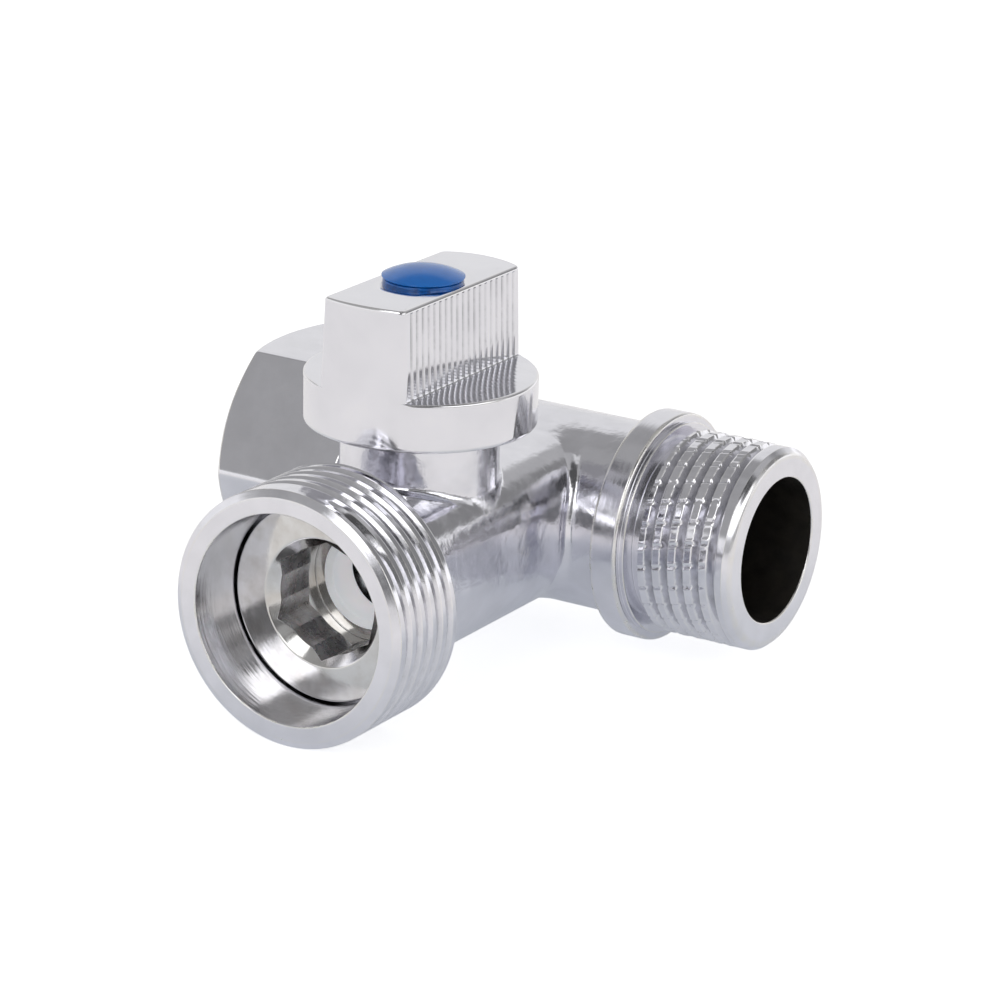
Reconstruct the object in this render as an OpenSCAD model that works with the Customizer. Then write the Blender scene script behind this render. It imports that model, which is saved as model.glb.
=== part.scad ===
// Appliance tee ball valve: a straight run along X with a G1/2 female hexagon end and a G1/2 male end,
// and a side branch along -Y with a G3/4 male end that a quarter-turn ball opens and shuts.
// The origin is where the axis of the run meets the axis of the branch. The handle turns about +Z.
// The thread helices are not cut: each male thread is a row of rings at its pitch, and the female one is a bore.

/* [Run] */
// Outer radius of the run pipe
run_r = 10.2; // [10:0.1:10.8]
// Radius of the water passage through the run
run_bore_r = 7.65; // [6:0.05:7.8]
// Distance from the branch axis to the male end face
male_end_x = 29; // [28:0.5:36]
// Crest radius of the G1/2 male thread
male_thread_r = 10.48; // [10.4:0.01:10.55]
// Length of the G1/2 male thread with its lead
male_thread_len = 10.6; // [8:0.2:11]
// Root radius of the relief beside the collar
male_relief_r = 9.3; // [9.1:0.05:9.6]
// Width of the relief beside the collar
male_relief_w = 1.3; // [0.8:0.1:1.8]
// Radius of the collar that stops the male thread
collar_r = 12.1; // [11.6:0.1:12.8]
// Width of the collar
collar_w = 3.1; // [2.4:0.1:4]
// Radius of the turned ring in front of the collar
step_ring_r = 11.2; // [10.8:0.1:11.4]
// Width of the turned ring in front of the collar
step_ring_w = 0.5; // [0.3:0.1:0.8]

/* [Hexagon end] */
// Wall between the female thread and the hexagon's flats
hex_wall = 2.68; // [2.3:0.01:3.5]
// Distance from the branch axis to the hexagon end face
hex_end_x = 33.1; // [32:0.1:38]
// Length of the hexagon
hex_len = 16; // [14:0.5:18]
// How far inside the flats the hexagon's chamfer starts
hex_chamfer_in = 0.5; // [0.3:0.1:1]
// Slope of the hexagon chamfer from the end face
hex_chamfer_deg = 30; // [20:1:35]
// Root-free radius of the G1/2 female thread
female_thread_r = 9.32; // [9.25:0.01:9.4]
// Depth of the G1/2 female thread
female_thread_len = 13; // [10:0.5:14]

/* [Branch] */
// Wall of the branch round the ball chamber
branch_wall = 2.02; // [1.8:0.01:2.4]
// Distance from the handle's axis to the branch face
branch_reach = 23.61; // [23:0.01:26.5]
// Crest radius of the G3/4 male thread
branch_thread_r = 13.22; // [13.1:0.01:13.3]
// Length of the G3/4 male thread with its lead
branch_thread_len = 10.9; // [10.4:0.1:11.4]
// How much the recess in front of the retainer widens to its mouth
recess_taper = 0.35; // [0.15:0.01:0.6]

/* [Threads] */
// Distance from one thread crest to the next
thread_pitch = 1.814; // [1.6:0.002:2]
// Depth of the male threads
thread_depth = 1.05; // [0.8:0.01:1.16]
// Distance from the male end face to its first thread groove
male_groove_x = 2.2; // [2:0.1:2.6]
// Distance from the branch face to its first thread groove
branch_groove_y = 1.8; // [1.6:0.1:2.4]

/* [Ball and seats] */
// Distance from the run axis to the axis of the ball, stem and handle
stem_y = 23.54; // [23.4:0.02:24]
// Radius of the ball
ball_r = 7; // [6.8:0.05:7.1]
// Radius of the passage through the ball
port_r = 4.1; // [3.6:0.05:4.2]
// How far the seat rings reach beyond the ball's radius
seat_lip = 0.5; // [0.4:0.05:0.6]
// Extra radius of the seat rings' hole round the ball's passage
seat_clear = 0.15; // [0.1:0.05:0.4]
// Thickness of the seat rings behind the ball
seat_wall = 1.1; // [0.9:0.05:1.3]
// Depth of the drive slot in the ball
slot_depth = 1.9; // [1.6:0.1:2.1]

/* [Retainer] */
// Depth of the retainer's front below the branch face
retainer_depth = 6.3; // [6:0.1:7]
// Width of the retainer's head beyond its shank
retainer_head_w = 2.05; // [1.7:0.01:2.1]
// Thickness of the retainer's head
retainer_head_len = 2.4; // [2:0.1:2.6]
// How far the retainer's threaded shank stands outside the ball chamber
shank_step = 0.62; // [0.4:0.01:0.75]
// Socket size across flats
socket_af = 10.8; // [10:0.1:11]
// How far the round hole that the socket is broached in reaches beyond its flats
socket_bore_rise = 0.15; // [0.08:0.01:0.2]
// How far the countersink reaches beyond the socket's corners
socket_mouth_rise = 0.46; // [0.3:0.01:0.8]
// Length of the relief behind the socket
socket_relief_len = 2.1; // [1.4:0.1:2.3]
// Thickness of the retainer's web
web_len = 1; // [0.7:0.05:1.4]
// Section radius of the retainer's seal
retainer_seal_section_r = 0.6; // [0.5:0.05:0.65]

/* [Stem] */
// Radius of the stem shaft
stem_r = 3.2; // [3:0.05:3.4]
// Radius of the stem's inner flange
stem_flange_r = 4.7; // [4.4:0.05:4.9]
// Thickness of the stem's inner flange
stem_flange_len = 1.3; // [1:0.1:1.5]
// Thickness of the thrust washer
washer_len = 0.7; // [0.5:0.1:0.9]
// Thickness of the tang that turns the ball
tang_w = 3; // [2.6:0.1:3.2]
// Length of the tang across the stem
tang_len = 7; // [6:0.2:7.4]
// Square of the stem that drives the handle
drive_square = 4.6; // [4.2:0.1:4.8]
// Height of the drive square
drive_len = 5; // [4.4:0.1:5.2]
// Section radius of the stem O-rings
oring_section_r = 0.58; // [0.5:0.02:0.62]

/* [Neck] */
// Outer radius of the stem neck
neck_r = 8.14; // [7.9:0.02:8.3]
// Height of the neck's top above the branch axis
neck_top_z = 16.4; // [16.2:0.1:16.8]
// Height of the raised stop rim above the neck's top
stop_rise = 1.2; // [0.8:0.1:1.3]
// Width of the ring between the stem and the stop rim, for the handle's hub
hub_room = 2.25; // [1.8:0.05:2.6]
// Angle that the handle turns between its stops
turn_deg = 90; // [80:1:95]
// Angle that the handle's stop lug spans
lug_deg = 44; // [30:1:60]

/* [Handle] */
// Radius of the handle's skirt
skirt_r = 11.86; // [11.4:0.02:12.2]
// How far the skirt hangs below the neck's top
skirt_drop = 1.7; // [1.4:0.1:2]
// Height of the ledges beside the blade above the neck's top
skirt_rise = 3.37; // [3:0.01:4]
// Height of the blade above the ledges
blade_h = 9.33; // [8:0.01:11]
// Half thickness of the blade at its top
blade_top_half = 4.72; // [4.4:0.01:5]
// How much thicker each flank of the blade is at the ledges
blade_draft = 0.32; // [0.2:0.01:0.8]
// How far each end of the blade leans in towards its top
blade_end_draft = 0.18; // [0.1:0.02:0.9]
// Radial gap between the neck and the hollow under the handle
hollow_gap = 0.36; // [0.3:0.01:0.6]
// Number of grooves on each flank of the blade
groove_count = 18; // [10:1:18]
// Distance between the grooves
groove_pitch = 1.055; // [0.8:0.005:1.06]
// Depth of the grooves
groove_depth = 0.22; // [0.1:0.01:0.3]
// Radial gap round the screw head in its pocket
pocket_gap = 0.6; // [0.4:0.05:0.7]
// Thickness of the floor under the screw head
screw_floor = 1.1; // [0.8:0.1:1.3]

/* [Screw and cap] */
// Radius of the handle screw's shank
screw_r = 1.48; // [1.3:0.02:1.5]
// Radius of the handle screw's head
screw_head_r = 2.9; // [2.6:0.05:3]
// Height of the handle screw's head
screw_head_len = 1.9; // [1.6:0.1:2.2]
// Length of the handle screw below its head
screw_len = 6; // [5:0.5:6.5]
// How far inside the blade's flanks the cap's rim lies
cap_inset = 0.52; // [0.2:0.01:0.6]
// Height of the cap's rim above the blade
cap_rim_z = 0.4; // [0.3:0.05:0.9]
// Rise of the cap's dome above its rim
cap_dome = 1.3; // [0.9:0.05:1.6]
// Depth of the cap's plug in the screw pocket
cap_plug_len = 2.4; // [1.6:0.1:3]

/* [Fits] */
// Gap between the ball and each seat ring
ball_gap = 0.1; // [0.06:0.01:0.12]
// Gap on each side of the tang in the ball's slot
tang_gap = 0.1; // [0.06:0.01:0.14]
// Radial gap of the stem in its neck
stem_gap = 0.05; // [0.03:0.01:0.08]
// Radial gap of the seat rings in the chamber
seat_gap = 0.08; // [0.05:0.01:0.1]
// Radial gap of the retainer's shank in its thread
shank_gap = 0.05; // [0.03:0.01:0.08]
// Radial gap of the retainer's head in its recess
recess_gap = 0.2; // [0.12:0.01:0.3]
// Gap between the tang's turning circle and the seat rings
tang_clear = 0.2; // [0.15:0.01:0.3]
// Gap between the stem's flange and the seat rings, and round the flange
flange_gap = 0.15; // [0.1:0.01:0.2]
// Gap on each side of the drive square in the handle
square_gap = 0.05; // [0.03:0.01:0.08]
// Gap between the turning handle and the neck
handle_gap = 0.3; // [0.25:0.01:0.35]
// Gap of an O-ring in its groove and bore
oring_gap = 0.02; // [0.01:0.01:0.03]
// Radial gap of the cap's plug in its pocket
plug_gap = 0.05; // [0.03:0.01:0.08]

/* [Hidden] */
$fn = 96;
eps = 0.01;
edge = 0.4;
thread_lead = 0.8;
thread_angle = 55;
thread_root = 0.2;
relief_slope = 0.3;
mouth_rise = 1.36;
flare = 1.1;
flare_foot_z = 2.4;
flare_top_share = 0.55;
shaft_rise = 0.2;
seal_inset = 0.35;
seal_room = 0.05;
groove_room = 0.25;
lower_oring_share = 0.27;
upper_oring_share = 0.68;
lug_spare_deg = 1;
screw_thread_gap = 0.02;
screw_hole_gap = 0.2;
screw_hole_rest = 0.6;
cross_len = 3;
cross_w = 0.6;
cross_depth = 1.1;
cap_groove = 0.23;
hex_af = 2 * (female_thread_r + hex_wall);
hex_corner_r = hex_af / sqrt(3);
hex_chamfer_r = hex_af / 2 - hex_chamfer_in;
collar_x = male_end_x - male_thread_len - male_relief_w - step_ring_w - collar_w;
collar_front_x = collar_x + collar_w;
relief_x = collar_front_x + step_ring_w;
male_thread_x = relief_x + male_relief_w;
male_ramp = (male_thread_r - male_relief_r) * relief_slope;
seat_r = ball_r + seat_lip;
seat_inner_r = port_r + seat_clear;
seat_back = ball_r + seat_wall;
tang_corner_r = sqrt(tang_len * tang_len + tang_w * tang_w) / 2;
seat_front = tang_corner_r + tang_clear;
chamber_r = seat_r + seat_gap;
chamber_end_y = stem_y - seat_back;
branch_r = chamber_r + branch_wall;
branch_face_y = stem_y + branch_reach;
branch_thread_y = branch_face_y - branch_thread_len;
retainer_shank_r = chamber_r + shank_step;
retainer_head_r = retainer_shank_r + retainer_head_w;
recess_r = retainer_head_r + recess_gap;
recess_mouth_r = recess_r + recess_taper;
retainer_front_y = branch_face_y - retainer_depth;
retainer_seat_y = retainer_front_y - retainer_head_len;
retainer_back_y = stem_y + seat_back;
web_port_r = seat_inner_r;
socket_corner_r = socket_af / sqrt(3);
socket_bore_r = socket_af / 2 + socket_bore_rise;
socket_mouth_r = socket_corner_r + socket_mouth_rise;
seal_groove_r = retainer_shank_r + seal_inset + retainer_seal_section_r;
slot_half = tang_w / 2 + tang_gap;
slot_floor_z = ball_r - slot_depth;
tang_bottom_z = slot_floor_z + tang_gap;
flange_z = seat_r + flange_gap;
flange_top_z = flange_z + stem_flange_len;
washer_top_z = flange_top_z + washer_len;
flange_pocket_r = stem_flange_r + flange_gap;
stem_bore_r = stem_r + stem_gap;
oring_floor_r = stem_bore_r - 2 * (oring_section_r + oring_gap);
oring_groove_half = oring_section_r + groove_room;
lower_oring_z = washer_top_z + (neck_top_z - washer_top_z) * lower_oring_share;
upper_oring_z = washer_top_z + (neck_top_z - washer_top_z) * upper_oring_share;
shaft_top_z = neck_top_z + shaft_rise;
drive_top_z = shaft_top_z + drive_len;
drive_hole = drive_square + 2 * square_gap;
stop_inner_r = stem_bore_r + hub_room;
hub_r = stop_inner_r - handle_gap;
hub_z = neck_top_z + handle_gap;
hollow_r = neck_r + hollow_gap;
hollow_top_z = neck_top_z + stop_rise + handle_gap;
skirt_z = neck_top_z - skirt_drop;
ledge_z = neck_top_z + skirt_rise;
blade_top_z = ledge_z + blade_h;
blade_foot_half = blade_top_half + blade_draft;
blade_end_top_r = skirt_r - blade_end_draft;
blade_slope = atan(blade_draft / blade_h);
screw_seat_z = drive_top_z + square_gap + screw_floor;
screw_head_top_z = screw_seat_z + screw_head_len;
screw_pocket_r = screw_head_r + pocket_gap;
cap_r = blade_top_half - cap_inset;

// A solid turned about +X: points are [x, radius].
module turned_x(points) {
    rotate([0, 90, 0])
        rotate_extrude()
            polygon([for (p = points) [p[1], p[0]]]);
}

// A solid turned about the branch axis: points are [distance from the run axis towards -Y, radius].
module turned_branch(points) {
    rotate([90, 0, 0])
        rotate_extrude()
            polygon([for (p = points) [p[1], p[0]]]);
}

// A solid turned about the stem axis: points are [height, radius].
module turned_stem(points) {
    translate([0, -stem_y, 0])
        rotate_extrude()
            polygon([for (p = points) [p[1], p[0]]]);
}

// A sector of a ring about the stem axis, centred on the direction start + span / 2.
module stem_sector(inner_r, outer_r, z, height, start, span) {
    translate([0, -stem_y, z])
        rotate([0, 0, start])
            rotate_extrude(angle = span)
                translate([inner_r, 0])
                    square([outer_r - inner_r, height]);
}

// The points of a thread's grooves on a turned outline that ends at face, where start is the plain width before them.
function thread_grooves(face, first, length, start, crest_r) =
    let (half = thread_root / 2 + thread_depth * tan(thread_angle / 2))
    let (count = floor((length - first - start - half) / thread_pitch) + 1)
    [for (i = [count - 1 : -1 : 0]) let (middle = face - first - i * thread_pitch) each [
        [middle - half, crest_r],
        [middle - thread_root / 2, crest_r - thread_depth],
        [middle + thread_root / 2, crest_r - thread_depth],
        [middle + half, crest_r]
    ]];

// The hexagon with its long axis on X, corners towards +Y and -Y.
module hexagon_prism(corner_r, x, length) {
    translate([x, 0, 0])
        rotate([0, 90, 0])
            rotate([0, 0, 30])
                cylinder(r = corner_r, h = length, $fn = 6);
}

// The female end: a hexagon bounded by a flat cone at each end, with a shoulder down to the run.
module hexagon_end() {
    outer_drop = (hex_corner_r + 1 - hex_chamfer_r) * tan(hex_chamfer_deg);
    inner_x = -hex_end_x + hex_len;
    shoulder_r = hex_chamfer_r - 0.2;
    shoulder_x = inner_x + shoulder_r - run_r;
    intersection() {
        hexagon_prism(hex_corner_r, -hex_end_x, hex_len);
        turned_x([
            [-hex_end_x, 0],
            [-hex_end_x, hex_chamfer_r],
            [-hex_end_x + outer_drop, hex_corner_r + 1],
            [inner_x - outer_drop, hex_corner_r + 1],
            [inner_x, hex_chamfer_r],
            [inner_x, 0]
        ]);
    }
    turned_x([
        [inner_x - eps, 0],
        [inner_x - eps, shoulder_r],
        [shoulder_x, run_r],
        [shoulder_x, 0]
    ]);
}

// The run from the hexagon to the male end, with the collar, the turned ring and the relief.
module run_outside() {
    turned_x(concat([
        [-hex_end_x + hex_len / 2, 0],
        [-hex_end_x + hex_len / 2, run_r],
        [collar_x, run_r],
        [collar_x, collar_r - edge],
        [collar_x + edge, collar_r],
        [collar_front_x - edge, collar_r],
        [collar_front_x, collar_r - edge],
        [collar_front_x, step_ring_r],
        [relief_x, step_ring_r],
        [relief_x, male_relief_r],
        [male_thread_x, male_relief_r],
        [male_thread_x + male_ramp, male_thread_r]
    ], thread_grooves(male_end_x, male_groove_x, male_thread_len, male_ramp, male_thread_r), [
        [male_end_x - thread_lead, male_thread_r],
        [male_end_x, male_thread_r - thread_lead * 0.7],
        [male_end_x, 0]
    ]));
}

// The branch from the run axis to its face.
module branch_outside() {
    turned_branch(concat([
        [0, 0],
        [0, branch_r],
        [branch_thread_y - edge, branch_r],
        [branch_thread_y, branch_r + edge],
        [branch_thread_y, branch_thread_r - edge],
        [branch_thread_y + edge, branch_thread_r]
    ], thread_grooves(branch_face_y, branch_groove_y, branch_thread_len, edge, branch_thread_r), [
        [branch_face_y - thread_lead * 0.6, branch_thread_r],
        [branch_face_y, branch_thread_r - thread_lead],
        [branch_face_y, 0]
    ]));
}

// The neck round the stem, flared where it leaves the branch, with the raised rim that stops the handle.
module neck_outside() {
    flare_top_z = neck_top_z * flare_top_share;
    turned_stem(concat(
        [
            [0, 0],
            [0, neck_r + flare]
        ],
        [for (i = [0 : 5]) let (t = i / 5)
            [flare_foot_z + (flare_top_z - flare_foot_z) * t, neck_r + flare * pow(1 - t, 2)]],
        [
            [neck_top_z - edge / 2, neck_r],
            [neck_top_z, neck_r - edge / 2],
            [neck_top_z, 0]
        ]
    ));
    stem_sector(stop_inner_r, neck_r - edge / 2, neck_top_z - eps, stop_rise + eps,
        lug_deg / 2, 360 - turn_deg - lug_deg);
}

// The water passage of the run with the female thread's bore and its lead-in.
module run_passage() {
    turned_x([
        [-hex_end_x - 1, 0],
        [-hex_end_x - 1, female_thread_r + mouth_rise],
        [-hex_end_x, female_thread_r + mouth_rise],
        [-hex_end_x + mouth_rise * 0.8, female_thread_r],
        [-hex_end_x + female_thread_len, female_thread_r],
        [-hex_end_x + female_thread_len + (female_thread_r - run_bore_r) * 0.6, run_bore_r],
        [male_end_x + 1, run_bore_r],
        [male_end_x + 1, 0]
    ]);
}

// The stepped bore of the branch: port, ball chamber, retainer thread and recess.
module branch_passage() {
    turned_branch([
        [0, 0],
        [0, seat_inner_r],
        [chamber_end_y, seat_inner_r],
        [chamber_end_y, chamber_r],
        [retainer_back_y, chamber_r],
        [retainer_back_y, retainer_shank_r + shank_gap],
        [retainer_seat_y, retainer_shank_r + shank_gap],
        [retainer_seat_y, recess_r],
        [retainer_front_y + edge, recess_r],
        [branch_face_y, recess_mouth_r],
        [branch_face_y + 1, recess_mouth_r],
        [branch_face_y + 1, 0]
    ]);
}

// The bore for the stem and the pocket for its flange and washer.
module stem_passage() {
    turned_stem([
        [0, 0],
        [0, flange_pocket_r],
        [washer_top_z, flange_pocket_r],
        [washer_top_z, stem_bore_r],
        [neck_top_z - edge, stem_bore_r],
        [neck_top_z, stem_bore_r + edge],
        [neck_top_z + 1, stem_bore_r + edge],
        [neck_top_z + 1, 0]
    ]);
}

module body() {
    color("#d7d9dc")
        difference() {
            union() {
                run_outside();
                hexagon_end();
                branch_outside();
                neck_outside();
            }
            run_passage();
            branch_passage();
            stem_passage();
        }
}

// A seat ring with a spherical face, on the side of the ball that direction names.
module seat_ring(direction) {
    near = stem_y + direction * seat_front;
    far = stem_y + direction * seat_back;
    difference() {
        turned_branch([
            [near, seat_inner_r],
            [near, seat_r],
            [far, seat_r],
            [far, seat_inner_r]
        ]);
        translate([0, -stem_y, 0])
            rotate([90, 0, 0])
                sphere(r = ball_r + ball_gap);
    }
}

module inner_seat() {
    color("#f4f3ee")
        seat_ring(-1);
}

module outer_seat() {
    color("#f4f3ee")
        seat_ring(1);
}

// The ball at its open position: the passage runs along the branch, the slot lies across it.
module ball() {
    color("#cfd2d6")
        translate([0, -stem_y, 0])
            difference() {
                rotate([90, 0, 0])
                    sphere(r = ball_r);
                rotate([90, 0, 0])
                    cylinder(r = port_r, h = 3 * ball_r, center = true);
                translate([-ball_r, -slot_half, slot_floor_z])
                    cube([2 * ball_r, 2 * slot_half, 2 * slot_depth]);
            }
}

// The screwed ring that holds the outer seat, with its broached hexagon socket and its seal groove.
module retainer() {
    relief_y = retainer_back_y + web_len;
    socket_y = relief_y + socket_relief_len;
    relief_r = socket_corner_r + 0.06;
    cone_len = (socket_mouth_r - socket_bore_r) * 0.9;
    groove_r = seal_groove_r + retainer_seal_section_r + seal_room;
    groove_y = retainer_seat_y + 2 * retainer_seal_section_r;
    color("#c9ccd0")
        difference() {
            turned_branch([
                [retainer_back_y, 0],
                [retainer_back_y, retainer_shank_r - edge],
                [retainer_back_y + edge, retainer_shank_r],
                [retainer_seat_y, retainer_shank_r],
                [retainer_seat_y, retainer_head_r],
                [retainer_front_y - edge / 2, retainer_head_r],
                [retainer_front_y, retainer_head_r - edge / 2],
                [retainer_front_y, 0]
            ]);
            turned_branch([
                [retainer_back_y - 1, 0],
                [retainer_back_y - 1, web_port_r],
                [relief_y, web_port_r],
                [relief_y, relief_r],
                [socket_y, relief_r],
                [socket_y + edge, socket_bore_r],
                [retainer_front_y - cone_len, socket_bore_r],
                [retainer_front_y, socket_mouth_r],
                [retainer_front_y + 1, socket_mouth_r],
                [retainer_front_y + 1, 0]
            ]);
            translate([0, -socket_y, 0])
                rotate([90, 0, 0])
                    rotate([0, 0, 30])
                        cylinder(r = socket_corner_r, h = retainer_front_y - socket_y + 1, $fn = 6);
            turned_branch([
                [retainer_seat_y - 1, retainer_shank_r + seal_inset - seal_room],
                [retainer_seat_y - 1, groove_r],
                [groove_y, groove_r],
                [groove_y, retainer_shank_r + seal_inset - seal_room]
            ]);
        }
}

module retainer_seal() {
    color("#1c1c1e")
        translate([0, -retainer_seat_y - retainer_seal_section_r, 0])
            rotate([90, 0, 0])
                rotate_extrude()
                    translate([seal_groove_r, 0])
                        circle(r = retainer_seal_section_r, $fn = 32);
}

// The points of an O-ring groove in the stem, centred on height z.
function oring_groove(z) = [
    [z - oring_groove_half, stem_r],
    [z - oring_groove_half, oring_floor_r],
    [z + oring_groove_half, oring_floor_r],
    [z + oring_groove_half, stem_r]
];

// The stem, pushed in from the ball chamber so that its flange holds it against the water.
module stem() {
    color("#cbb26a")
        difference() {
            union() {
                translate([0, -stem_y, 0])
                    intersection() {
                        translate([-tang_len / 2, -tang_w / 2, tang_bottom_z])
                            cube([tang_len, tang_w, flange_z - tang_bottom_z + eps]);
                        cylinder(r = stem_flange_r, h = flange_top_z);
                    }
                turned_stem(concat(
                    [
                        [flange_z, 0],
                        [flange_z, stem_flange_r],
                        [flange_top_z, stem_flange_r],
                        [flange_top_z, stem_r]
                    ],
                    oring_groove(lower_oring_z),
                    oring_groove(upper_oring_z),
                    [
                        [shaft_top_z, stem_r],
                        [shaft_top_z, 0]
                    ]
                ));
                translate([0, -stem_y, shaft_top_z - eps])
                    intersection() {
                        translate([-drive_square / 2, -drive_square / 2, 0])
                            cube([drive_square, drive_square, drive_len + eps]);
                        cylinder(r = stem_r, h = drive_len + eps);
                    }
            }
            translate([0, -stem_y, screw_seat_z - screw_len - screw_hole_rest])
                cylinder(r = screw_r + screw_thread_gap, h = screw_len + screw_hole_rest);
        }
}

module thrust_washer() {
    color("#f4f3ee")
        turned_stem([
            [flange_top_z, stem_bore_r],
            [flange_top_z, stem_flange_r],
            [washer_top_z, stem_flange_r],
            [washer_top_z, stem_bore_r]
        ]);
}

// An O-ring squeezed between its groove and the neck, at height z.
module stem_oring(z) {
    translate([0, -stem_y, z])
        rotate_extrude()
            translate([stem_bore_r - oring_gap - oring_section_r, 0])
                circle(r = oring_section_r, $fn = 32);
}

module lower_stem_oring() {
    color("#1c1c1e")
        stem_oring(lower_oring_z);
}

module upper_stem_oring() {
    color("#1c1c1e")
        stem_oring(upper_oring_z);
}

// The blade: a drafted slab whose ends lie on the same cone as the skirt's side.
module blade() {
    intersection() {
        translate([0, -stem_y, ledge_z - eps])
            cylinder(r1 = skirt_r, r2 = blade_end_top_r, h = blade_top_z - ledge_z + eps);
        translate([0, -stem_y + skirt_r + 1, 0])
            rotate([90, 0, 0])
                linear_extrude(height = 2 * skirt_r + 2)
                    polygon([
                        [-blade_foot_half, ledge_z - eps],
                        [blade_foot_half, ledge_z - eps],
                        [blade_top_half, blade_top_z],
                        [-blade_top_half, blade_top_z]
                    ]);
    }
}

// The row of upright V-shaped grooves that roughens one flank of the blade.
module flank_grooves() {
    groove_side = groove_depth * sqrt(2);
    groove_foot = 0.25;
    for (i = [0 : groove_count - 1])
        translate([blade_foot_half, -stem_y + (i - (groove_count - 1) / 2) * groove_pitch, ledge_z])
            rotate([0, -blade_slope, 0])
                rotate([0, 0, 45])
                    translate([-groove_side / 2, -groove_side / 2, groove_foot])
                        cube([groove_side, groove_side, blade_h + 1]);
}

// The handle: skirt, hub, stop lug and ribbed blade in one casting.
module handle() {
    color("#dfe0e3")
        difference() {
            union() {
                difference() {
                    turned_stem([
                        [skirt_z, 0],
                        [skirt_z, skirt_r - edge],
                        [skirt_z + edge, skirt_r],
                        [ledge_z - edge / 2, skirt_r],
                        [ledge_z, skirt_r - edge / 2],
                        [ledge_z, 0]
                    ]);
                    turned_stem([
                        [skirt_z - 1, 0],
                        [skirt_z - 1, hollow_r],
                        [hollow_top_z, hollow_r],
                        [hollow_top_z, 0]
                    ]);
                }
                blade();
                turned_stem([
                    [hub_z, 0],
                    [hub_z, hub_r],
                    [ledge_z - eps, hub_r],
                    [ledge_z - eps, 0]
                ]);
                stem_sector(hub_r - eps, neck_r, hub_z, ledge_z - hub_z - eps,
                    lug_spare_deg - lug_deg / 2, lug_deg - 2 * lug_spare_deg);
            }
            for (side = [0, 1])
                mirror([side, 0, 0])
                    flank_grooves();
            translate([-drive_hole / 2, -stem_y - drive_hole / 2, hub_z - 1])
                cube([drive_hole, drive_hole, drive_top_z + square_gap - hub_z + 1]);
            turned_stem([
                [hub_z - 1, 0],
                [hub_z - 1, screw_r + screw_hole_gap],
                [screw_seat_z, screw_r + screw_hole_gap],
                [screw_seat_z, screw_pocket_r],
                [blade_top_z + 1, screw_pocket_r],
                [blade_top_z + 1, 0]
            ]);
        }
}

// The cross-recess screw that clamps the handle on the stem.
module handle_screw() {
    screw_end_z = screw_seat_z - screw_len;
    color("#a9acb0")
        difference() {
            turned_stem([
                [screw_end_z, 0],
                [screw_end_z, screw_r - edge],
                [screw_end_z + edge, screw_r],
                [screw_seat_z, screw_r],
                [screw_seat_z, screw_head_r],
                [screw_head_top_z - 0.7, screw_head_r],
                [screw_head_top_z - 0.2, screw_head_r - 0.5],
                [screw_head_top_z, screw_head_r - 1.1],
                [screw_head_top_z, 0]
            ]);
            for (turn = [0, 90])
                translate([0, -stem_y, screw_head_top_z - cross_depth])
                    rotate([0, 0, turn])
                        translate([-cross_len / 2, -cross_w / 2, 0])
                            cube([cross_len, cross_w, cross_depth + 1]);
        }
}

// The domed cap, snapped into the screw pocket by its plug, with a groove under its rim.
module cap() {
    dome_r = (cap_r * cap_r + cap_dome * cap_dome) / (2 * cap_dome);
    dome_z = blade_top_z + cap_rim_z + cap_dome - dome_r;
    dome_half = asin(cap_r / dome_r);
    plug_r = screw_pocket_r - plug_gap;
    groove_z = blade_top_z + cap_rim_z * 0.62;
    rim_z = blade_top_z + cap_rim_z * 0.85;
    color("#1a4fae")
        turned_stem(concat(
            [
                [blade_top_z - cap_plug_len, 0],
                [blade_top_z - cap_plug_len, plug_r - edge],
                [blade_top_z - cap_plug_len + edge, plug_r],
                [blade_top_z, plug_r],
                [blade_top_z, cap_r - cap_groove / 3],
                [groove_z, cap_r - cap_groove / 3],
                [groove_z, cap_r - cap_groove],
                [rim_z, cap_r - cap_groove]
            ],
            [for (i = [0 : 12]) let (a = dome_half * (1 - i / 12))
                [dome_z + dome_r * cos(a), dome_r * sin(a)]]
        ));
}

body();
inner_seat();
outer_seat();
ball();
retainer();
retainer_seal();
stem();
thrust_washer();
lower_stem_oring();
upper_stem_oring();
handle();
handle_screw();
cap();
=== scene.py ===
import math

import bmesh
import bpy
import numpy as np
from mathutils import Matrix, Vector


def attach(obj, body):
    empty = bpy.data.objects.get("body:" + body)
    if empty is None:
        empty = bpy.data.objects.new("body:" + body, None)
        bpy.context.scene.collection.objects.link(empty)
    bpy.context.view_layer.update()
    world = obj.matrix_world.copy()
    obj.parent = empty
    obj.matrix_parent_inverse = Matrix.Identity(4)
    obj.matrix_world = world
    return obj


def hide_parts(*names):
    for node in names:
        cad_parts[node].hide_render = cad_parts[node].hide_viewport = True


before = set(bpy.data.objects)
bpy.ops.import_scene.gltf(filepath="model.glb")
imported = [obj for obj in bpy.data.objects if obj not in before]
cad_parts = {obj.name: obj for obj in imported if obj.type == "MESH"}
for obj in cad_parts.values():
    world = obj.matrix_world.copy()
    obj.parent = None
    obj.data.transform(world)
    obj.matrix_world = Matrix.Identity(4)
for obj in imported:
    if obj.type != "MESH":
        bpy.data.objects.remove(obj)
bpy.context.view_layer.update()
scene = bpy.context.scene
mm = 0.001
stemY = -23.54  # the stem's axis, in mm, where the handle turns
tiny = 1e-9  # keeps a division by a length safe
mergeWithin = 2e-7  # in metres: closer points of a mesh become one
print("frame: loaded", len(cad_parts), "nodes")


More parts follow.
